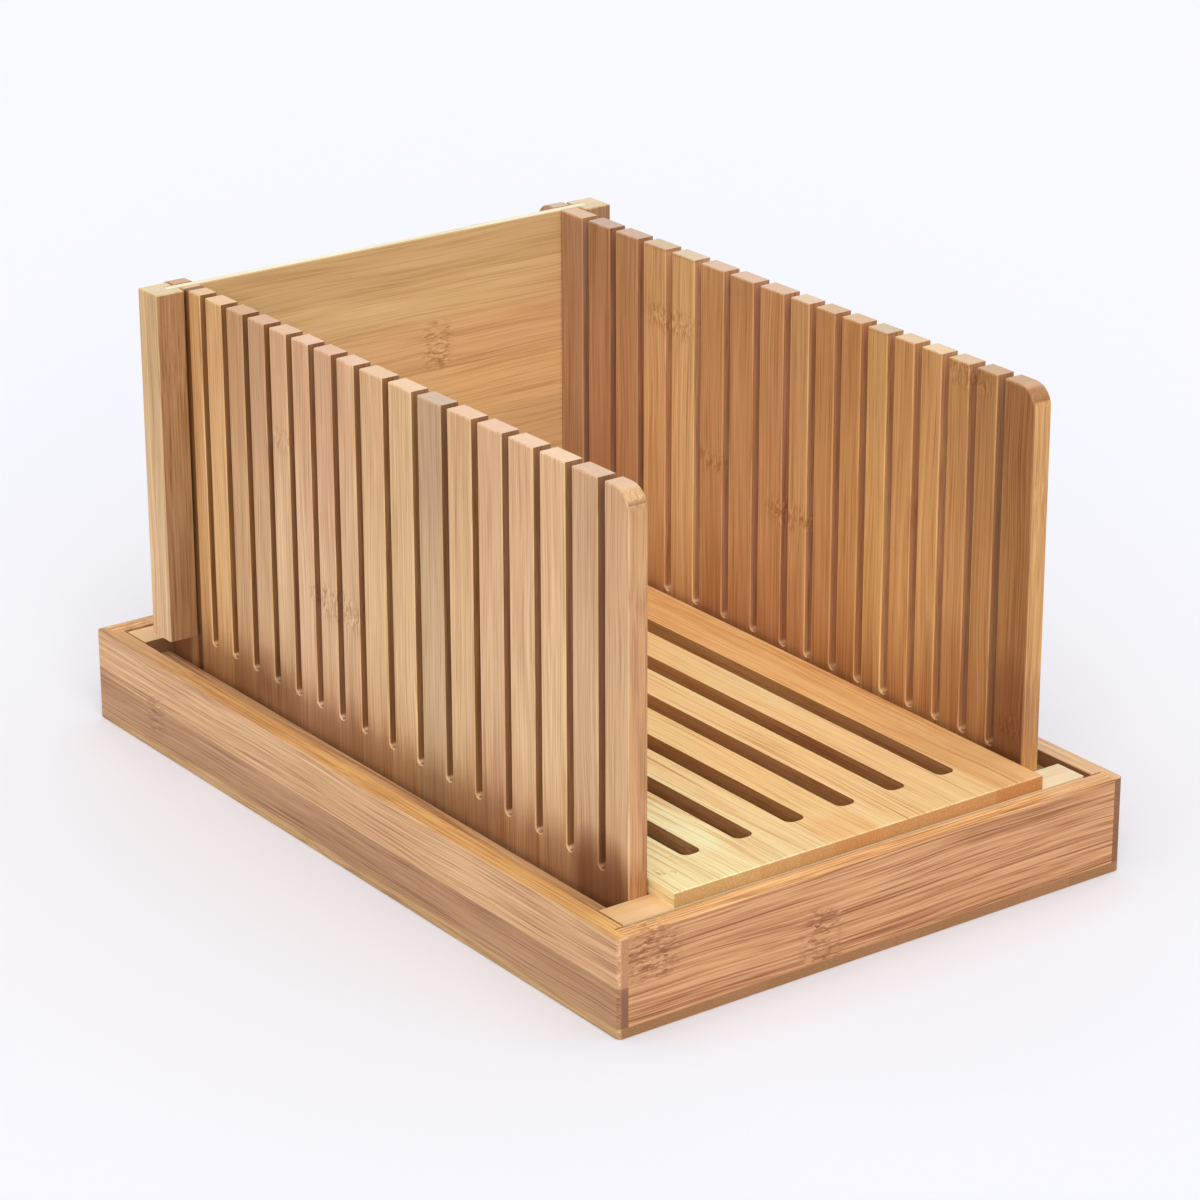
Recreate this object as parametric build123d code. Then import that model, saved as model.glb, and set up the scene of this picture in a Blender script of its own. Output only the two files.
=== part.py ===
from build123d import *
import math
import os

# Foldable bamboo bread slicer guide on its crumb tray, set up for slicing.
# Millimetres. X is the width, Y the length with the open front at -Y, Z is up from the table.
# The origin is the centre of the tray's footprint, on the table.

# Crumb tray
tray_length = 345.0
tray_width = 225.0
tray_height = 37.0
wall = 8.0
bottom_thickness = 4.0
rabbet = 4.0
outer_corner_radius = 2.0

# Support rails: battens inside the tray's long walls, which carry the ends of the cleats
support_top = 31.0
support_height = 8.0
support_inner = 93.2

# Slicer base: a slotted board on two end cleats, whose ends rest on the support rails
board_thickness = 5.5
board_left = -82.9
board_right = 81.5
cleat_thickness = 13.6
cleat_left = -104.2
cleat_right = 101.4
cleat_bottom = 16.0
cleat_side_clearance = 0.4
front_end_gap = 0.9
rear_end_gap = 2.2
crumb_slot_count = 6
crumb_slot_pitch = 22.8
crumb_slot_middle = -1.6
crumb_slot_width = 8.0
crumb_slot_corner = 3.0
crumb_slot_margin = 21.2

# Combs: the two slotted side guides
comb_thickness = 8.0
comb_inner = 83.6
comb_top = 182.6
comb_end_gap = 0.2
comb_corner_radius = 8.0
comb_below_pivot = 4.8
knife_slot_width = 4.0
panel_slot_width = 4.6
panel_slot_below_board = 0.8
wide_pitch = 18.27
narrow_pitch = 14.97
knife_slots_rear = 8
knife_slots_front = 8
left_first_slot = 116.5
right_first_slot = 115.6
slot_floor = 42.8

# Hinge pins: the combs fold one above the other under the board, so their pivots differ in height
pin_radius = 1.5
pin_running_clearance = 0.05
pin_seat_clearance = 0.01
pin_depth_in_comb = 13.0
pin_recess = 0.4
left_pivot_z = 32.7
right_pivot_z = 23.8

# Dowels that hold the board on its cleats
dowel_radius = 2.5
dowel_length = 16.0
dowel_in_board = 3.5
dowel_spacing = 70.0

# Back rest: a panel with a post at each end
panel_thickness = 4.0
panel_y = 134.2
post_width = 12.2
post_depth = 13.4
post_gap = 1.0
post_foot_gap = 1.5
groove_depth = 4.2
groove_clearance = 0.05

# Eased edges
ease = 0.6
fine_ease = 0.4

# Worked out from the above
inside_x = tray_width / 2 - wall
inside_y = tray_length / 2 - wall
base_front = -inside_y + front_end_gap
base_rear = inside_y - rear_end_gap
comb_front = base_front + cleat_thickness + comb_end_gap
comb_rear = base_rear - cleat_thickness - comb_end_gap
cleat_top = tray_height
board_top = cleat_top + board_thickness
comb_outer = comb_inner + comb_thickness
panel_slot_floor = board_top - panel_slot_below_board
pivot_x = comb_inner + comb_thickness / 2
post_inner = comb_outer + post_gap
post_outer = post_inner + post_width


def block(x0, x1, y0, y1, z0, z1):
    """A box between two corners."""
    centre = Pos((x0 + x1) / 2, (y0 + y1) / 2, (z0 + z1) / 2)
    return centre * Box(abs(x1 - x0), abs(y1 - y0), abs(z1 - z0))


def cylinder_along_y(x, z, radius, y0, y1):
    """A round bar or bore that runs along Y."""
    middle = Pos(x, (y0 + y1) / 2, z)
    return middle * Rot(90, 0, 0) * Cylinder(radius, abs(y1 - y0))


def edges_at(body, axis, value):
    """The edges that lie wholly in one plane across the axis."""
    return body.edges().filter_by_position(axis, value - 1e-4, value + 1e-4)


# Tray

def make_tray_bottom():
    plate = block(-tray_width / 2, tray_width / 2, -tray_length / 2, tray_length / 2, 0, bottom_thickness)
    plate = fillet(plate.edges().filter_by(Axis.Z), outer_corner_radius)
    return chamfer(edges_at(plate, Axis.Z, 0), fine_ease)


def make_side_wall(side):
    """A long wall with a thin tongue at each end, which laps over the end of the short wall."""
    outer = side * tray_width / 2
    inner = side * inside_x
    lap = side * (tray_width / 2 - rabbet)
    body = block(inner, outer, -inside_y, inside_y, bottom_thickness, tray_height)
    body += block(lap, outer, -tray_length / 2, tray_length / 2, bottom_thickness, tray_height)
    corners = body.edges().filter_by(Axis.Z).filter_by_position(Axis.X, outer - 1e-4, outer + 1e-4)
    body = fillet(corners, outer_corner_radius)
    rim = edges_at(body, Axis.Z, tray_height)
    long_rim = rim.filter_by(Axis.Y).sort_by(Axis.X)
    return fillet([long_rim[0], long_rim[-1]], ease)


def make_end_wall(end):
    """A short wall, housed between the tongues of the two long ones."""
    outer = end * tray_length / 2
    inner = end * inside_y
    half = tray_width / 2 - rabbet
    body = block(-half, half, inner, outer, bottom_thickness, tray_height)
    rim = edges_at(body, Axis.Z, tray_height).filter_by(Axis.X)
    return fillet(rim, ease)


def make_support_rail(side):
    """A batten on the inner face of a long wall."""
    bottom = support_top - support_height
    body = block(side * support_inner, side * inside_x, -inside_y, inside_y, bottom, support_top)
    inner_edge = edges_at(body, Axis.Z, support_top).filter_by_position(
        Axis.X, side * support_inner - 1e-4, side * support_inner + 1e-4)
    return fillet(inner_edge, ease)


# Slicer base

def dowel_places():
    """Plan positions of the dowels, three to a cleat."""
    rows = (base_front + cleat_thickness / 2, base_rear - cleat_thickness / 2)
    return [(step * dowel_spacing, y) for y in rows for step in (-1, 0, 1)]


def dowel_at(x, y, radius, extra):
    """A dowel, or with some extra its hole, through the joint between a cleat and the board."""
    top = cleat_top + dowel_in_board + extra
    return Pos(x, y, top - (dowel_length + 2 * extra) / 2) * Cylinder(radius, dowel_length + 2 * extra)


def crumb_slot_xs():
    first = crumb_slot_middle - (crumb_slot_count - 1) / 2 * crumb_slot_pitch
    return [first + step * crumb_slot_pitch for step in range(crumb_slot_count)]


def make_board():
    """The cutting board, with long slots that crumbs fall through."""
    body = block(board_left, board_right, base_front, base_rear, cleat_top, board_top)
    body = fillet(edges_at(body, Axis.Z, board_top), ease)
    slot_front = base_front + crumb_slot_margin
    slot_rear = base_rear - crumb_slot_margin
    slot = RectangleRounded(crumb_slot_width, slot_rear - slot_front, crumb_slot_corner)
    cutter = extrude(slot, board_thickness + 2)
    middle_y = (slot_front + slot_rear) / 2
    for x in crumb_slot_xs():
        body -= Pos(x, middle_y, cleat_top - 1) * cutter
    for x, y in dowel_places():
        body -= dowel_at(x, y, dowel_radius, 0)
    return body


def make_cleat(end):
    """A tall end bar that carries the board and holds the hinge pins, and its two arms on the support rails."""
    y0 = base_front if end < 0 else base_rear - cleat_thickness
    y1 = y0 + cleat_thickness
    half = support_inner - cleat_side_clearance
    middle = block(-half, half, y0, y1, cleat_bottom, cleat_top)
    seat = pin_radius + pin_seat_clearance
    for side, pivot_z in ((-1, left_pivot_z), (1, right_pivot_z)):
        middle -= cylinder_along_y(side * pivot_x, pivot_z, seat, y0 - 1, y1 + 1)
    for x, y in dowel_places():
        if y0 < y < y1:
            middle -= dowel_at(x, y, dowel_radius, 0)
    left_arm = block(cleat_left, -half, y0, y1, support_top, cleat_top)
    right_arm = block(half, cleat_right, y0, y1, support_top, cleat_top)
    return Compound(middle.solids() + left_arm.solids() + right_arm.solids())


def make_dowels():
    return Compound([dowel_at(x, y, dowel_radius, 0) for x, y in dowel_places()])


def make_pin(side, end, pivot_z):
    """A steel pin pressed through a cleat into the end of a comb."""
    if end < 0:
        y0 = base_front + pin_recess
        y1 = comb_front + pin_depth_in_comb
    else:
        y0 = comb_rear - pin_depth_in_comb
        y1 = base_rear - pin_recess
    pin = cylinder_along_y(side * pivot_x, pivot_z, pin_radius, y0, y1)
    return chamfer(pin.edges().filter_by(GeomType.CIRCLE), fine_ease)


# Combs

def slot_ys(first, rear_pitch, front_pitch):
    """Knife slots counted from the rear: one pitch for the first eight, another for the rest."""
    rear = [first - step * rear_pitch for step in range(knife_slots_rear)]
    front = [rear[-1] - step * front_pitch for step in range(1, knife_slots_front + 1)]
    return rear + front


def open_slot(y, floor, width, round_floor):
    """The outline of a slot that is open at the comb's top, on a plane of Y and Z."""
    top = comb_top + 1
    radius = width / 2
    base = floor + radius if round_floor else floor
    outline = Pos(y, (base + top) / 2) * Rectangle(width, top - base)
    if round_floor:
        outline += Pos(y, base) * Circle(radius)
    return outline


def make_comb(side, pivot_z, knife_ys):
    """The whole comb, cut from one sheet."""
    bottom = pivot_z - comb_below_pivot
    length = comb_rear - comb_front
    height = comb_top - bottom
    plate = Rectangle(length, height)
    top_corners = plate.vertices().sort_by(Axis.Y)[-2:]
    plate = fillet(top_corners, comb_corner_radius)
    outline = Pos((comb_front + comb_rear) / 2, bottom + height / 2) * plate
    for y in knife_ys:
        outline -= open_slot(y, slot_floor, knife_slot_width, True)
    outline -= open_slot(panel_y, panel_slot_floor, panel_slot_width, False)
    low_x = comb_inner if side > 0 else -comb_outer
    body = extrude(Plane.YZ.offset(low_x) * outline, comb_thickness)
    broad_faces = body.faces().sort_by(Axis.X)
    body = chamfer(broad_faces[0].edges() + broad_faces[-1].edges(), fine_ease)
    bore = pin_radius + pin_running_clearance
    depth = pin_depth_in_comb + 1
    body -= cylinder_along_y(side * pivot_x, pivot_z, bore, comb_front - 1, comb_front + depth)
    body -= cylinder_along_y(side * pivot_x, pivot_z, bore, comb_rear - depth, comb_rear + 1)
    return body


def between_levels(body, z0, z1):
    """The solids that a comb leaves between two heights."""
    return (body & block(-tray_width, tray_width, -tray_length, tray_length, z0, z1)).solids()


def comb_pieces(side, pivot_z, knife_ys):
    """A comb in two nodes that meet at the feet of its slats: the rail and the slats."""
    comb = make_comb(side, pivot_z, knife_ys)
    slat_foot = slot_floor + knife_slot_width / 2
    bar = between_levels(comb, 0, panel_slot_floor)
    webs = between_levels(comb, panel_slot_floor, slat_foot)
    slats = between_levels(comb, slat_foot, comb_top + 1)
    return Compound(bar + webs), Compound(slats)


# Back rest

def make_back_panel():
    """The thin panel: it drops into the rear slots of both combs and stands on the board."""
    half = post_inner + groove_depth
    y0 = panel_y - panel_thickness / 2
    y1 = panel_y + panel_thickness / 2
    panel = block(-half, half, y0, y1, board_top, comb_top)
    top_edges = edges_at(panel, Axis.Z, comb_top).filter_by(Axis.X)
    return chamfer(top_edges, fine_ease)


def make_post(side):
    """A square post outside each comb, grooved for the end of the panel."""
    inner = side * post_inner
    outer = side * post_outer
    y0 = panel_y - post_depth / 2
    y1 = panel_y + post_depth / 2
    post = block(inner, outer, y0, y1, board_top + post_foot_gap, comb_top)
    post = fillet(post.edges().filter_by(Axis.Z), ease)
    post = chamfer(edges_at(post, Axis.Z, comb_top), fine_ease)
    groove_half = panel_thickness / 2 + groove_clearance
    groove_end = side * (post_inner + groove_depth + groove_clearance)
    groove = block(inner - side, groove_end, panel_y - groove_half, panel_y + groove_half, 0, comb_top + 1)
    return post - groove


def main():
    left_slots = slot_ys(left_first_slot, narrow_pitch, wide_pitch)
    right_slots = slot_ys(right_first_slot, wide_pitch, narrow_pitch)
    left_rail, left_slats = comb_pieces(-1, left_pivot_z, left_slots)
    right_rail, right_slats = comb_pieces(1, right_pivot_z, right_slots)
    nodes = {
        "tray_bottom": make_tray_bottom(),
        "tray_left_wall": make_side_wall(-1),
        "tray_right_wall": make_side_wall(1),
        "tray_front_wall": make_end_wall(-1),
        "tray_rear_wall": make_end_wall(1),
        "left_support_rail": make_support_rail(-1),
        "right_support_rail": make_support_rail(1),
        "slotted_board": make_board(),
        "front_cleat": make_cleat(-1),
        "rear_cleat": make_cleat(1),
        "board_dowels": make_dowels(),
        "left_comb_rail": left_rail,
        "left_comb_slats": left_slats,
        "right_comb_rail": right_rail,
        "right_comb_slats": right_slats,
        "left_hinge_pin_front": make_pin(-1, -1, left_pivot_z),
        "left_hinge_pin_rear": make_pin(-1, 1, left_pivot_z),
        "right_hinge_pin_front": make_pin(1, -1, right_pivot_z),
        "right_hinge_pin_rear": make_pin(1, 1, right_pivot_z),
        "back_panel": make_back_panel(),
        "left_post": make_post(-1),
        "right_post": make_post(1),
    }
    os.makedirs("parts", exist_ok=True)
    for name, shape in nodes.items():
        export_step(shape, f"parts/{name}.step")
    reach = comb_top - left_pivot_z
    play = math.degrees(math.atan(post_gap / reach))
    print(f"comb length {comb_rear - comb_front:.1f}, outward play {play:.2f} degrees")


main()
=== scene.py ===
import math

import bpy
from mathutils import Matrix, Vector

# Looks of the bamboo bread slicer guide: camera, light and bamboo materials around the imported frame.
# The scene is in metres, the materials in millimetres. X is the width, Y the length and Z is up.

MM = 0.001

# Camera, fitted to the tray's corners
CAMERA_AT = Vector((-0.83288, -1.15033, 0.63105))
AZIMUTH = -0.63053
ELEVATION = 0.372182
ROLL = -0.0027942
SENSOR_MM = 36.0
LENS_MM = 123.03
SHIFT = (-0.0012, 0.0008)
FAR_CLIP = 50.0

# Light: a pale studio and two wide, soft lamps far away. A lamp has a name, the direction that it
# shines from, its strength, and its width in degrees.
STUDIO_STRENGTH = 0.58
STUDIO_COLOUR = (0.99, 0.99, 1.0, 1.0)
BACKDROP_TONE = (248, 248, 250)
LAMPS = (
    ("overhead", (0.0, 0.0, 1.0), 0.80, 90.0),
    ("front_left", (-1.3, -2.1, 1.6), 1.35, 50.0),
)

# Floor: the camera sees it nearly white, and the object gets a little less light from it
FLOOR_REACH = 8.0
FLOOR_SEEN_TONE = (242, 243, 249)
FLOOR_LIT_TONE = (228, 228, 230)

# Tints are multiples of a material's own colour. Ramps hold them at half size, as ramp colours stop at 1.
TINT_SCALE = 2.0
PLAIN = (1.0, 1.0, 1.0)
WHITE = (1.0, 1.0, 1.0, 1.0)

# A face comes to look along an axis as that part of its normal rises from the first value to the second
FACING = (0.8, 0.98)

# Fibres are noises with a length and a width in mm, a detail and a roughness
FINE_FIBRES = (45.0, 0.65, 2.0, 0.6)
COARSE_FIBRES = (130.0, 1.7, 2.0, 0.55)
CLOUDS = (110.0, 9.0, 1.0, 0.55)
DASHES = (26.0, 0.7, 1.0, 0.55)
FINE_CONTRAST = 1.25
COARSE_CONTRAST = 0.45
CLOUD_CONTRAST = 0.4
DASH_STRENGTH = 0.5

# Values of the fibres' noise that give the dark, body and light tones
TONE_PLACES = (0.12, 0.5, 0.88)

# Other noises, as waves per mm along and across the grain
RAGGED_WAVES = (0.25, 0.4)
SWIRL_WAVES = (0.3, 0.45)
WAVER_WAVES = (0.011, 0.03)
SQUIGGLE_WAVES = (0.28, 1.2)
SPECK_WAVES = (0.02, 1.6)

# How far, in mm, the fibres swirl at node marks, waver elsewhere, and shift from strip to strip
SWIRL = 3.0
WAVER = 6.0
STRIP_SHIFT = 400.0

# The edges of the strips are a little wavy: waves per mm, their swing in mm, and their place in the noise
EDGE_WAVES = (0.02, 0.0)
EDGE_SWING = 1.0
EDGE_START = 5.0

# The last strip of a sheet is at most this wide, and tinted spans have edges this soft, in mm
LAST_STRIP_WIDTH = 60.0
SOFT_EDGE = 0.2

# Satin surface, with its relief in metres
ROUGHNESS = 0.46
BUMP_STRENGTH = 0.25
BUMP_HEIGHT = 0.0002

# Heights in mm on the tray's walls: below them, the bottom's top, and the seam between their two strips
TRAY_SEAMS = (-5.0, 4.0, 18.5)
TRAY_WALL_SPAN = (-5.0, 40.0)

# The combs in mm, with slots as in the part. Spans reach a little past the faces that they hold.
WIDE_PITCH = 18.27
NARROW_PITCH = 14.97
SLOTS_OF_EACH_PITCH = 8
LEFT_REAR_SLOT = 116.5
RIGHT_REAR_SLOT = 115.6
BACK_REST_SLOT = 134.0
BEFORE_COMB = -160.0
COMB_FRONT_EDGE = (-151.0, -149.3)
COMB_SLOTS = (-149.2, 147.8)
ABOVE_COMB = 182.8
TOP_DEPTH = 1.2

# The round floors of the knife slots lie in shade, up to 100 mm above the table
SLOT_SHADE = (0.45, 0.38, 0.32)
SLOT_FLOORS = ("ends", [(30, SLOT_SHADE), (100, SLOT_SHADE), (101, PLAIN), (184, PLAIN)])

# Display colours of dark fibre, body and light fibre
COMB_TONES = ((168, 120, 78), (208, 165, 122), (228, 190, 148))
TRAY_TONES = ((150, 98, 58), (204, 156, 108), (226, 184, 138))
BOARD_TONES = ((186, 134, 76), (236, 204, 148), (240, 221, 174))
CLEAT_TONES = ((214, 176, 120), (246, 222, 180), (250, 232, 196))
PANEL_TONES = ((180, 128, 76), (232, 190, 134), (244, 210, 158))
POST_TONES = ((156, 104, 62), (212, 170, 120), (232, 200, 150))


def srgb(red, green, blue):
    """A display colour, 0 to 255, as the linear colour that shaders take."""
    linear = []
    for value in (red, green, blue):
        part = value / 255
        linear.append(part / 12.92 if part <= 0.04045 else ((part + 0.055) / 1.055) ** 2.4)
    return (*linear, 1.0)


def ramp_stops(places, low, high, scale=1.0):
    """Ramp stops for (place, colour) pairs between two places, with the colours divided by a scale."""
    stops = []
    for place, colour in places:
        position = min(max((place - low) / (high - low), 0.0), 1.0)
        stops.append((position, (*[part / scale for part in colour], 1.0)))
    return stops


class Shader:
    """A material's node tree. Most calls add one node and give back its output socket."""

    def __init__(self, name):
        self.material = bpy.data.materials.new(name)
        self.material.use_nodes = True
        self.tree = self.material.node_tree
        self.tree.nodes.clear()

    def feed(self, socket, value):
        if isinstance(value, bpy.types.NodeSocket):
            self.tree.links.new(value, socket)
        else:
            socket.default_value = value

    def node(self, kind, settings, inputs, output=0):
        made = self.tree.nodes.new(kind)
        for key, value in settings.items():
            setattr(made, key, value)
        for key, value in inputs.items():
            self.feed(made.inputs[key], value)
        return made.outputs[output]

    def math(self, operation, *values):
        return self.node("ShaderNodeMath", {"operation": operation}, dict(enumerate(values)))

    def add(self, first, second):
        return self.math("ADD", first, second)

    def times(self, first, second):
        return self.math("MULTIPLY", first, second)

    def vector(self, x, y, z):
        return self.node("ShaderNodeCombineXYZ", {}, {0: x, 1: y, 2: z})

    def split(self, vector, axes):
        """The parts of a vector along axes such as "ZYX"."""
        made = self.tree.nodes.new("ShaderNodeSeparateXYZ")
        self.feed(made.inputs[0], vector)
        return [made.outputs["XYZ".index(axis)] for axis in axes]

    def noise(self, vector, detail=2.0, roughness=0.5):
        inputs = {"Vector": vector, "Scale": 1.0, "Detail": detail, "Roughness": roughness}
        return self.node("ShaderNodeTexNoise", {}, inputs)

    def swing(self, noise, amount):
        """A noise as a swing about 0."""
        return self.times(self.add(noise, -0.5), amount)

    def window(self, value, low, high, to_low=0.0, to_high=1.0):
        """A smooth step from to_low at low to to_high at high."""
        settings = {"interpolation_type": "SMOOTHSTEP"}
        inputs = {0: value, 1: low, 2: high, 3: to_low, 4: to_high}
        return self.node("ShaderNodeMapRange", settings, inputs)

    def mix(self, factor, first, second, blend="MIX", clamp=False):
        """A mix of two colours. Sockets 0, 6 and 7 are a colour mix's factor and its two colours."""
        settings = {"data_type": "RGBA", "blend_type": blend, "clamp_result": clamp}
        return self.node("ShaderNodeMix", settings, {0: factor, 6: first, 7: second}, 2)

    def ramp(self, factor, stops, interpolation="LINEAR"):
        """A colour ramp through (position, colour) stops."""
        made = self.tree.nodes.new("ShaderNodeValToRGB")
        made.color_ramp.interpolation = interpolation
        elements = made.color_ramp.elements
        elements[0].position, elements[0].color = stops[0]
        elements[1].position, elements[1].color = stops[-1]
        for position, colour in stops[1:-1]:
            elements.new(position).color = colour
        self.feed(made.inputs[0], factor)
        return made.outputs[0]

    def tint_ramp(self, factor, tints, low, high, interpolation="LINEAR"):
        """The tint at a factor, for (place, tint) pairs between two places."""
        halved = self.ramp(factor, ramp_stops(tints, low, high, TINT_SCALE), interpolation)
        return self.mix(1.0, halved, (TINT_SCALE, TINT_SCALE, TINT_SCALE, 1.0), "MULTIPLY")

    def tinted(self, colour, tint, where=None):
        """A colour times a tint, all over or only where a mask is 1."""
        if where is not None:
            tint = self.mix(where, WHITE, (*tint, 1.0))
        return self.mix(1.0, colour, tint, "MULTIPLY")

    def finish(self, kind, inputs):
        """Ends the tree with a surface and gives back the material."""
        surface = self.node(kind, {}, inputs)
        output = self.tree.nodes.new("ShaderNodeOutputMaterial")
        self.feed(output.inputs[0], surface)
        return self.material


class Bamboo(Shader):
    """Bamboo glued up from strips, with its grain along one axis of the piece.

    axes: the axis along the grain, across the strips, and through the sheet, such as "ZYX".
    tones: display colours of dark fibre, body and light fibre.
    fibre: how much the fibres stand out; 1 is usual.
    """

    def __init__(self, name, axes, tones, fibre):
        super().__init__(name)
        self.dark, self.body, self.light = (srgb(*tone) for tone in tones)
        self.fibre = fibre
        metres = self.node("ShaderNodeTexCoord", {}, {}, "Object")
        normal = self.node("ShaderNodeTexCoord", {}, {}, "Normal")
        place = self.node("ShaderNodeVectorMath", {"operation": "SCALE"}, {0: metres, "Scale": 1 / MM})
        self.along, self.across, self.through = self.split(place, axes)
        end, wall, self.broad_side = self.split(normal, axes)
        self.faces = {
            kind: self.window(self.math("ABSOLUTE", part), *FACING)
            for kind, part in (("ends", end), ("walls", wall), ("broad", self.broad_side))
        }

    def waves(self, scale, along, across, third):
        """A place in a noise, for a scale of waves per mm along and across."""
        return self.vector(self.times(along, scale[0]), self.times(across, scale[1]), third)

    def lay_strips(self, strips):
        """Sets the shift that gives each strip fibres of its own, and gives back the strips' tints."""
        low = strips[0][0]
        high = strips[-1][0] + LAST_STRIP_WIDTH
        wave = self.noise(self.waves(EDGE_WAVES, self.along, 0.0, EDGE_START))
        place = self.add(self.across, self.swing(wave, EDGE_SWING))
        span = self.node("ShaderNodeMapRange", {}, {0: place, 1: low, 2: high})
        count = len(strips)
        numbers = [(edge, [(step + 0.5) / count] * 3) for step, (edge, _) in enumerate(strips)]
        number = self.ramp(span, ramp_stops(numbers, low, high), "CONSTANT")
        chance = self.node("ShaderNodeTexWhiteNoise", {"noise_dimensions": "3D"}, {"Vector": number})
        self.shift = self.times(chance, STRIP_SHIFT)
        return self.tint_ramp(span, strips, low, high, "CONSTANT")

    def patch(self, along, across, half_length, half_width, strength=1.0):
        """A patch around a place, with a soft edge."""
        up = self.math("DIVIDE", self.add(self.along, -along), half_length)
        side = self.math("DIVIDE", self.add(self.across, -across), half_width)
        far = self.add(self.math("POWER", up, 2.0), self.math("POWER", side, 4.0))
        return self.window(far, 1.6, 0.1, 0.0, strength)

    def between(self, first, last):
        """1 between two places across the strips, with a soft edge."""
        after = self.window(self.across, first - SOFT_EDGE, first)
        before = self.window(self.across, last + SOFT_EDGE, last)
        return self.times(after, before)

    def place_marks(self, marks):
        """Sets where the node marks are, with ragged edges."""
        mask = 0.0
        for mark in marks:
            mask = self.add(mask, self.patch(*mark))
        ragged = self.noise(self.waves(RAGGED_WAVES, self.along, self.across, self.through))
        self.marked = self.times(mask, self.window(ragged, 0.25, 0.6))

    def bend_fibres(self):
        """Sets the places along and beside the fibres, which swirl at the node marks."""
        swirl = self.noise(self.waves(SWIRL_WAVES, self.along, self.across, self.shift))
        swirl = self.times(self.swing(swirl, SWIRL), self.marked)
        waver = self.noise(self.waves(WAVER_WAVES, self.along, self.across, self.shift), 1.0)
        self.beside = self.add(self.across, self.add(swirl, self.times(waver, WAVER)))
        self.run = self.add(self.along, self.shift)

    def fibres(self, length, width, detail, roughness):
        place = self.vector(self.times(self.run, 1 / length), self.times(self.beside, 1 / width),
                            self.times(self.through, 1 / width))
        return self.noise(place, detail, roughness)

    def lay_fibres(self):
        """Light and dark fibres, with short dark dashes between them."""
        self.fine = self.fibres(*FINE_FIBRES)
        self.coarse = self.fibres(*COARSE_FIBRES)
        self.cloud = self.fibres(*CLOUDS)
        value = self.add(self.swing(self.fine, FINE_CONTRAST * self.fibre), 0.5)
        value = self.add(value, self.swing(self.coarse, COARSE_CONTRAST * self.fibre))
        value = self.add(value, self.swing(self.cloud, CLOUD_CONTRAST))
        colour = self.ramp(value, list(zip(TONE_PLACES, (self.dark, self.body, self.light))))
        dashes = self.window(self.fibres(*DASHES), 0.62, 0.76)
        self.dash = self.times(dashes, self.window(self.coarse, 0.62, 0.42, 0.15, 0.85))
        return self.mix(self.times(self.dash, DASH_STRENGTH * self.fibre), colour, self.dark)

    def draw_marks(self, colour):
        """Node marks: a darker patch with short wavy dark and light fibres."""
        squiggle = self.noise(self.waves(SQUIGGLE_WAVES, self.run, self.beside, self.through), 3.0, 0.6)
        colour = self.mix(self.times(self.marked, 0.3), colour, self.dark)
        dark_parts = self.times(self.marked, self.window(squiggle, 0.50, 0.60, 0.0, 0.95))
        colour = self.mix(dark_parts, colour, self.dark)
        light_parts = self.times(self.marked, self.window(squiggle, 0.49, 0.40, 0.0, 0.8))
        return self.mix(light_parts, colour, self.light)

    def draw_end_grain(self, colour, tone):
        """End grain: plain wood with the specks of cut fibres."""
        length, width = SPECK_WAVES
        place = self.vector(self.times(self.across, width), self.times(self.through, width),
                            self.times(self.along, length))
        specks = self.node("ShaderNodeTexVoronoi", {}, {"Vector": place, "Scale": 1.0})
        end_colour = self.mix(self.window(specks, 0.42, 0.2, 0.0, 0.4), srgb(*tone), self.body)
        end_colour = self.mix(self.times(self.coarse, 0.3), end_colour, self.dark)
        return self.mix(self.faces["ends"], colour, end_colour)

    def graded(self, colour, kind, tints):
        """A tint that drifts along the grain on one kind of face: the wood's tone, and on the combs painted
        shade.
        """
        first, last = tints[0][0], tints[-1][0]
        drift = self.node("ShaderNodeMapRange", {}, {0: self.along, 1: first, 2: last})
        tint = self.tint_ramp(self.add(drift, self.swing(self.cloud, 0.12)), tints, first, last)
        return self.mix(self.faces[kind], colour, self.tinted(colour, tint))

    def surface(self, colour):
        """Satin wood with a fine relief. The colour is clamped, as tints can lift it past white."""
        relief = self.add(self.times(self.fine, 0.6), self.times(self.dash, -0.6))
        bump = {"Strength": BUMP_STRENGTH, "Distance": BUMP_HEIGHT, "Height": relief}
        return self.finish("ShaderNodeBsdfPrincipled", {
            "Base Color": self.mix(0.0, colour, WHITE, clamp=True),
            "Roughness": self.add(self.swing(self.fine, 0.25), ROUGHNESS),
            "Normal": self.node("ShaderNodeBump", {}, bump),
        })


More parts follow.
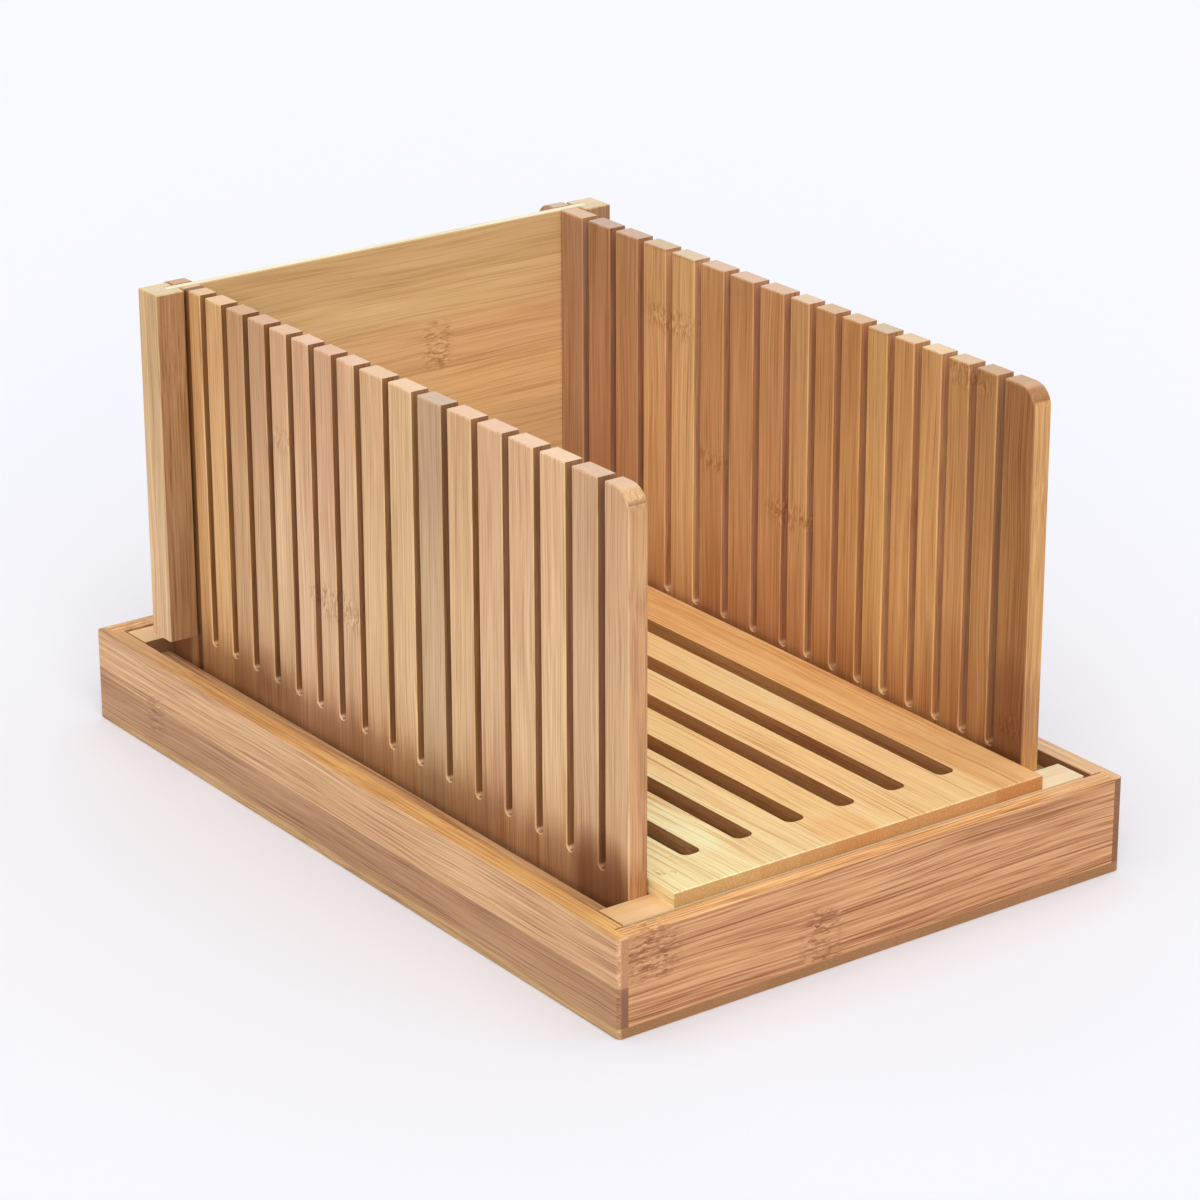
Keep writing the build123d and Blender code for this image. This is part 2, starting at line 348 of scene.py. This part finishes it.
def bamboo(name, axes, tones, strips, grades=(), marks=(), stains_light_and_shade=(), ends=None, walls=(),
           broad=(PLAIN, PLAIN), fibre=1.0):
    """A bamboo material, with places in mm along the grain and across the strips.

    strips: (first edge across, tint) of each strip, from low to high.
    grades: (kind of face, [(place along, tint), ...]) for a tint that drifts along the grain on the
    "ends", "walls" or "broad" faces: the wood's tone, and on the combs painted shade.
    marks: node marks as (along, across, half length, half width, strength).
    stains: soft patches as (along, across, half length, half width, tint): tints of the wood, painted shade
    and painted light.
    ends: display colour of end grain.
    walls: (from, to, tint) of the faces that look across the strips, between two places across.
    broad: tints of the two broad faces, the one on the low side first.
    """
    wood = Bamboo(name, axes, tones, fibre)
    strip_tint = wood.lay_strips(strips)
    wood.place_marks(marks)
    wood.bend_fibres()
    colour = wood.lay_fibres()
    if marks:
        colour = wood.draw_marks(colour)
    if ends is not None:
        colour = wood.draw_end_grain(colour, ends)
    colour = wood.tinted(colour, strip_tint)
    for kind, tints in grades:
        colour = wood.graded(colour, kind, tints)
    for *where, tint in stains_light_and_shade:
        colour = wood.tinted(colour, tint, wood.patch(*where))
    for first, last, tint in walls:
        where = wood.times(wood.faces["walls"], wood.between(first, last))
        colour = wood.tinted(colour, tint, where)
    for sign, tint in zip((-1.0, 1.0), broad):
        if tint != PLAIN:
            where = wood.window(wood.times(wood.broad_side, sign), *FACING)
            colour = wood.tinted(colour, tint, where)
    return wood.surface(colour)


def dress(node, material):
    """Gives a CAD node its material."""
    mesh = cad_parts[node].data
    if not mesh.materials:
        mesh.materials.append(material)
    for slot in range(len(mesh.materials)):
        mesh.materials[slot] = material


def slat_strips(rear_slot, rear_pitch, front_pitch, tints):
    """A comb's slats as strips that part in the middle of the slots, with tints from the front on."""
    rear = [rear_slot - step * rear_pitch for step in range(SLOTS_OF_EACH_PITCH)]
    front = [rear[-1] - step * front_pitch for step in range(1, SLOTS_OF_EACH_PITCH + 1)]
    edges = [BEFORE_COMB, *sorted(front + rear), BACK_REST_SLOT]
    return list(zip(edges, tints))


def slat_tops(tops):
    """Stains on the slats' tops, which differ in tone from their sides: (across, half width, tint)."""
    return [(ABOVE_COMB, across, TOP_DEPTH, half_width, tint) for across, half_width, tint in tops]


def left_comb_material():
    """The left comb: pale slats, with painted shade at the foot and a painted shadow line beside the post."""
    tints = [(1.12, 1.10, 1.05), (1.09, 1.07, 1.07), (1.31, 1.35, 1.30), (1.26, 1.28, 1.28),
             (1.20, 1.19, 1.19), (1.21, 1.23, 1.17), (1.02, 1.10, 1.10), (1.25, 1.31, 1.23),
             (1.19, 1.20, 1.12), (1.23, 1.23, 1.26), (1.18, 1.16, 1.20), (1.29, 1.30, 1.39),
             (1.20, 1.22, 1.21), (1.08, 1.05, 1.01), (1.03, 0.96, 0.84), (1.23, 1.20, 0.99),
             (1.20, 1.15, 0.95), (0.95, 0.85, 0.70)]
    strips = slat_strips(LEFT_REAR_SLOT, NARROW_PITCH, WIDE_PITCH, tints)
    # Painted shade: the slats darken towards the foot, below about 54 mm. Near the top they are a little
    # darker.
    foot_shade_by_height = [(30, (0.50, 0.40, 0.34)), (42, (0.61, 0.53, 0.48)), (54, (0.92, 0.90, 0.89)),
                 (70, (1.0, 1.03, 1.05)), (115, PLAIN), (160, (0.94, 0.90, 0.87)), (182, (0.93, 0.88, 0.84))]
    marks = [(87, 28, 7, 19, 0.9), (141, 63.6, 5, 7, 0.6)]
    # Painted shadow: the thin dark line beside the post, in the gap between the post and the comb. The patch
    # at the front foot is darker; the others tint the wood and the slats' tops.
    stains_light_and_shade = [(40, -135, 16, 16, (0.62, 0.50, 0.42)), (45, 75, 10, 10, (0.80, 0.72, 0.68)),
              (165, 60, 40, 45, (0.94, 0.90, 0.87)), (110, 127.9, 130, 2.0, (0.28, 0.20, 0.14)),
              (165, -34, 30, 9, (0.90, 0.90, 0.95)), *slat_tops([(-10, 150, (1.04, 1.06, 1.12))])]
    # The second span darkens the knife slots' walls: partly wood scorched by the router, partly painted
    # shade.
    walls = [(*COMB_FRONT_EDGE, (0.83, 0.73, 0.66)), (*COMB_SLOTS, (0.42, 0.33, 0.25))]
    return bamboo("bamboo_left_comb", "ZYX", COMB_TONES, strips, [("broad", foot_shade_by_height), SLOT_FLOORS],
                  marks, stains_light_and_shade, ends=(226, 190, 158), walls=walls)


def right_comb_material():
    """The right comb: golden brown slats, with painted shade at the foot, and darker at the front."""
    tints = [(0.68, 0.53, 0.37), (0.85, 0.71, 0.52), (1.05, 0.91, 0.71), (1.18, 1.09, 0.85),
             (1.12, 0.99, 0.74), (1.20, 1.15, 0.86), (1.02, 0.86, 0.63), (0.99, 0.82, 0.61),
             (1.13, 1.03, 0.86), (1.04, 0.88, 0.75), (1.04, 0.90, 0.77), (1.04, 0.90, 0.78),
             (1.35, 1.41, 1.26), (1.24, 1.20, 1.05), (0.89, 0.77, 0.69), (0.82, 0.71, 0.67),
             (0.84, 0.78, 0.82), (0.95, 0.85, 0.70)]
    strips = slat_strips(RIGHT_REAR_SLOT, WIDE_PITCH, NARROW_PITCH, tints)
    # Painted shade: the slats darken towards the foot, below about 80 mm. Near the top they are a little
    # darker.
    foot_shade_by_height = [(42, (0.62, 0.53, 0.50)), (58, (0.82, 0.77, 0.76)), (80, (0.97, 0.96, 0.97)), (115, PLAIN),
                 (157, (0.91, 0.89, 0.87)), (182, (0.89, 0.87, 0.85))]
    marks = [(155, 60, 6, 16, 0.9), (105.7, 34, 5, 8, 0.9), (96.5, -14, 6, 13, 1.0),
             (179, -116, 6, 13, 0.9), (54, -142.6, 5, 6, 1.0)]
    tops = [(-140, 10, (1.26, 1.23, 1.31)), (-64.7, 8, (0.79, 0.77, 0.85)), (60, 20, (0.77, 0.73, 0.67)),
            (124, 10, (1.23, 1.14, 0.87))]
    # The first two patches darken the slats low at the front; the rest tint the slats' tops.
    stains_light_and_shade = [(56, -141, 24, 11, (0.76, 0.68, 0.70)), (64, -109.6, 22, 8, (0.84, 0.78, 0.77)),
              *slat_tops(tops)]
    # The second span darkens the knife slots' walls: partly wood scorched by the router, partly painted
    # shade.
    walls = [(*COMB_FRONT_EDGE, (1.46, 1.62, 1.55)), (*COMB_SLOTS, (0.74, 0.65, 0.64))]
    return bamboo("bamboo_right_comb", "ZYX", COMB_TONES, strips, [("broad", foot_shade_by_height), SLOT_FLOORS],
                  marks, stains_light_and_shade, ends=(232, 214, 198), walls=walls)


def dress_combs():
    left = left_comb_material()
    right = right_comb_material()
    for part in ("rail", "slats"):
        dress(f"left_comb_{part}", left)
        dress(f"right_comb_{part}", right)


def dress_tray():
    """The tray: long walls of two strips, streaked short walls, rails and a bottom of many strips."""
    left_tints = ((0.95, 0.99, 0.92), (0.81, 0.75, 0.76), (1.21, 1.25, 1.32))
    left_stains = [(170, 40.5, 190, 4.5, (0.80, 0.76, 0.82)), (-172.5, 8, 1.5, 10, (0.76, 0.72, 0.80))]
    left = bamboo("bamboo_left_wall", "YZX", TRAY_TONES, list(zip(TRAY_SEAMS, left_tints)),
                  marks=[(128, 16, 7, 9, 0.7)], stains_light_and_shade=left_stains, ends=(175, 124, 85),
                  walls=[(*TRAY_WALL_SPAN, (1.05, 1.00, 0.72))], fibre=1.1)
    dress("tray_left_wall", left)

    right_tints = (PLAIN, (0.95, 0.92, 0.90), PLAIN)
    # The inner face, on the low side, is darkened with painted shade.
    right = bamboo("bamboo_right_wall", "YZX", TRAY_TONES, list(zip(TRAY_SEAMS, right_tints)),
                   ends=(133, 86, 56), walls=[(*TRAY_WALL_SPAN, (1.36, 1.50, 1.70))],
                   broad=((0.5, 0.42, 0.38), PLAIN))
    dress("tray_right_wall", right)

    short_strips = [(edge, (0.97, 0.83, 0.77)) for edge in TRAY_SEAMS[:2]]
    short_marks = [(-98, 28, 11, 10, 1.0), (-26, 13, 9, 12, 1.0)]
    short = bamboo("bamboo_end_wall", "XZY", TRAY_TONES, short_strips, marks=short_marks,
                   walls=[(*TRAY_WALL_SPAN, (1.43, 1.63, 1.58))], fibre=1.7)
    dress("tray_front_wall", short)
    dress("tray_rear_wall", short)

    rail_strips = [(-130, (1.20, 1.22, 1.15)), (-98, (1.08, 1.10, 1.10)), (0, (0.9, 0.85, 0.8))]
    rail_grade = [(-170, (1.03, 1.02, 0.97)), (0, PLAIN), (120, (0.90, 0.90, 0.92)), (165, (0.9, 0.9, 0.9))]
    rail = bamboo("bamboo_rail", "YXZ", TRAY_TONES, rail_strips, [("broad", rail_grade)], fibre=1.1)
    dress("left_support_rail", rail)
    dress("right_support_rail", rail)

    bottom_tints = [(0.95, 0.98, 0.92), (0.96, 1.0, 0.98), (1.02, 1.06, 1.08)] * 4
    bottom_strips = [(-120 + 23 * step, tint) for step, tint in enumerate(bottom_tints)]
    # The bottom's top face, inside the tray, is darkened with painted shade.
    bottom = bamboo("bamboo_tray_bottom", "YXZ", TRAY_TONES, bottom_strips, ends=(162, 112, 71),
                    broad=(PLAIN, (0.5, 0.4, 0.33)))
    dress("tray_bottom", bottom)


def dress_base():
    """The board, pale on the left and golden on the right, its cleats and their dowels."""
    board_strips = [(-90, (1.17, 1.34, 1.38)), (-62, (1.19, 1.36, 1.42)), (-46, (1.16, 1.23, 1.24)),
                    (-29, (1.15, 1.15, 1.12)), (-14, (1.12, 1.05, 0.94)), (6, (1.14, 1.08, 1.03)),
                    (30, (1.13, 1.06, 1.00)), (59.6, (1.05, 0.84, 0.67))]
    board_grade = [(-165, PLAIN), (-118, (1.02, 1.02, 1.02)), (-40, (1.13, 1.13, 1.13)),
                   (45, (1.10, 1.10, 1.10)), (165, (1.06, 1.06, 1.06))]
    slot_grade = [(-165, PLAIN), (-95, PLAIN), (-20, (1.35, 1.45, 1.40)), (165, (1.35, 1.45, 1.40))]
    board_marks = [(-147, -77, 3, 1.5, 0.9), (-150, -73, 1.5, 1.0, 0.8), (-141, -66, 2, 1.0, 0.6)]
    # The first patch is partly the board's pale wood and partly painted light, lifting the left comb's
    # shadow; the second is a darker patch.
    board_stains_and_light = [(-118, -52, 26, 14, (1.10, 1.20, 1.32)), (-155, -4, 9, 12, (0.99, 0.89, 0.82))]
    board = bamboo("bamboo_board", "YXZ", BOARD_TONES, board_strips,
                   [("broad", board_grade), ("walls", slot_grade)], board_marks, board_stains_and_light,
                   ends=(190, 140, 88), walls=[(-78, 78, (0.53, 0.355, 0.275))], fibre=0.9)
    dress("slotted_board", board)

    cleat_strips = [(-5, PLAIN), (20, PLAIN)]
    top_grade = [(-104, (0.90, 0.70, 0.50)), (-84, (0.98, 0.80, 0.64)), (60, PLAIN), (104, PLAIN)]
    # The rear cleat's front and rear faces are darkened with painted shade.
    for end, broad in (("front", (PLAIN, PLAIN)), ("rear", ((0.30, 0.20, 0.15), (0.6, 0.5, 0.4)))):
        cleat = bamboo(f"bamboo_{end}_cleat", "XZY", CLEAT_TONES, cleat_strips, [("walls", top_grade)],
                       ends=(190, 140, 90), broad=broad, fibre=0.6)
        dress(f"{end}_cleat", cleat)

    dowels = bamboo("dowel_wood", "ZXY", CLEAT_TONES, [(-80, PLAIN), (0, (1.05, 1.04, 1.03))])
    dress("board_dowels", dowels)


def dress_back_rest():
    """The panel with its top edge painted near white, a painted highlight on pale wood, and posts with pale
    sides and reddish fronts.
    """
    panel_strips = [(40, (0.95, 0.97, 0.99)), (62, (1.00, 1.03, 1.05)), (84, (0.96, 0.96, 0.99)),
                    (106, (1.05, 1.05, 1.03)), (127, (1.00, 0.97, 1.00)), (148, (0.95, 0.99, 0.99)),
                    (165, (0.85, 0.86, 0.83))]
    # The span at the top edge is a painted highlight on pale wood.
    panel = bamboo("bamboo_panel", "XZY", PANEL_TONES, panel_strips, marks=[(23.7, 138, 7, 10, 1.0)],
                   walls=[(180, 184, (1.38, 2.0, 3.2))], fibre=0.6)
    dress("back_panel", panel)

    post_strips = [(120, PLAIN), (134, (1.06, 1.05, 1.04))]
    side_grade = [(44, (1.12, 1.13, 1.22)), (80, (1.07, 1.08, 1.14)), (157, (0.90, 0.88, 0.80)),
                  (182, (0.90, 0.88, 0.80))]
    front_grade = [(44, (0.76, 0.78, 0.82)), (80, (0.77, 0.80, 0.84)), (157, (0.92, 0.92, 0.93)),
                   (182, (0.92, 0.92, 0.93))]
    post_grades = [("broad", side_grade), ("walls", front_grade)]
    post = bamboo("bamboo_post", "ZYX", POST_TONES, post_strips, post_grades, ends=(240, 222, 182),
                  walls=[(120, 145, (0.72, 0.60, 0.54))], broad=((1.02, 1.02, 1.02), (1.02, 1.02, 1.02)))
    dress("left_post", post)
    dress("right_post", post)


def dress_pins():
    """Drawn steel with fine lines along the pins."""
    shader = Shader("pin_steel")
    place = shader.node("ShaderNodeTexCoord", {}, {}, "Object")
    stretch = {0: place, 1: (4000.0, 60.0, 4000.0)}
    lines = shader.noise(shader.node("ShaderNodeVectorMath", {"operation": "MULTIPLY"}, stretch), 3.0)
    steel = shader.finish("ShaderNodeBsdfPrincipled", {
        "Base Color": shader.ramp(lines, [(0.3, srgb(150, 150, 152)), (0.7, srgb(205, 205, 208))]),
        "Roughness": shader.window(lines, 0.2, 0.8, 0.25, 0.42),
        "Metallic": 1.0,
    })
    for side in ("left", "right"):
        for end in ("front", "rear"):
            dress(f"{side}_hinge_pin_{end}", steel)


def place_camera():
    """The camera at the photograph's viewing angle."""
    data = bpy.data.cameras.new("camera")
    camera = bpy.data.objects.new("camera", data)
    bpy.context.scene.collection.objects.link(camera)
    reach = math.cos(ELEVATION)
    back = Vector((math.sin(AZIMUTH) * reach, -math.cos(AZIMUTH) * reach, math.sin(ELEVATION)))
    level = (-back).cross(Vector((0, 0, 1))).normalized()
    upright = level.cross(-back)
    right = math.cos(ROLL) * level + math.sin(ROLL) * upright
    up = -math.sin(ROLL) * level + math.cos(ROLL) * upright
    turn = Matrix((right, up, back)).transposed().to_4x4()
    camera.matrix_world = Matrix.Translation(CAMERA_AT) @ turn
    data.sensor_width = SENSOR_MM
    data.lens = LENS_MM
    data.shift_x, data.shift_y = SHIFT
    data.clip_end = FAR_CLIP
    bpy.context.scene.camera = camera


def make_floor():
    """A pale floor under the object."""
    corners = [(-FLOOR_REACH, -FLOOR_REACH, 0), (FLOOR_REACH, -FLOOR_REACH, 0), (FLOOR_REACH, FLOOR_REACH, 0),
               (-FLOOR_REACH, FLOOR_REACH, 0)]
    mesh = bpy.data.meshes.new("floor")
    mesh.from_pydata(corners, [], [(0, 1, 2, 3)])
    floor = bpy.data.objects.new("floor", mesh)
    bpy.context.scene.collection.objects.link(floor)
    shader = Shader("pale_floor")
    seen = shader.node("ShaderNodeLightPath", {}, {}, "Is Camera Ray")
    colour = shader.mix(seen, srgb(*FLOOR_LIT_TONE), srgb(*FLOOR_SEEN_TONE))
    mesh.materials.append(shader.finish("ShaderNodeBsdfDiffuse", {"Color": colour}))


def light_studio():
    """The studio's even light, the backdrop that the camera sees, and the lamps."""
    world = bpy.data.worlds.new("studio")
    bpy.context.scene.world = world
    world.use_nodes = True
    tree = world.node_tree
    tree.nodes.clear()
    path = tree.nodes.new("ShaderNodeLightPath")
    light = tree.nodes.new("ShaderNodeBackground")
    light.inputs["Strength"].default_value = STUDIO_STRENGTH
    light.inputs["Color"].default_value = STUDIO_COLOUR
    seen = tree.nodes.new("ShaderNodeBackground")
    seen.inputs["Strength"].default_value = 1.0
    seen.inputs["Color"].default_value = srgb(*BACKDROP_TONE)
    choose = tree.nodes.new("ShaderNodeMixShader")
    output = tree.nodes.new("ShaderNodeOutputWorld")
    tree.links.new(path.outputs["Is Camera Ray"], choose.inputs[0])
    tree.links.new(light.outputs[0], choose.inputs[1])
    tree.links.new(seen.outputs[0], choose.inputs[2])
    tree.links.new(choose.outputs[0], output.inputs[0])
    for name, direction, strength, width in LAMPS:
        data = bpy.data.lights.new(name, "SUN")
        data.energy = strength
        data.angle = math.radians(width)
        lamp = bpy.data.objects.new(name, data)
        lamp.rotation_euler = (-Vector(direction)).to_track_quat("-Z", "Y").to_euler()
        bpy.context.scene.collection.objects.link(lamp)


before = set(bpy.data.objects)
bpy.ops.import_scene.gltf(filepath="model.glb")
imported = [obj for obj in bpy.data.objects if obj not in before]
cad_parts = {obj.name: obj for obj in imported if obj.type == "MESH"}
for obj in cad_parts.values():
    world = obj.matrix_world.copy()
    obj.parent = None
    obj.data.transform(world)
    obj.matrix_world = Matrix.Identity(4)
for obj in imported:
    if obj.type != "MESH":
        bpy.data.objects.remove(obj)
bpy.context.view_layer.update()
place_camera()
make_floor()
light_studio()
dress_combs()
dress_tray()
dress_base()
dress_back_rest()
dress_pins()
bpy.context.scene.view_settings.view_transform = "Standard"
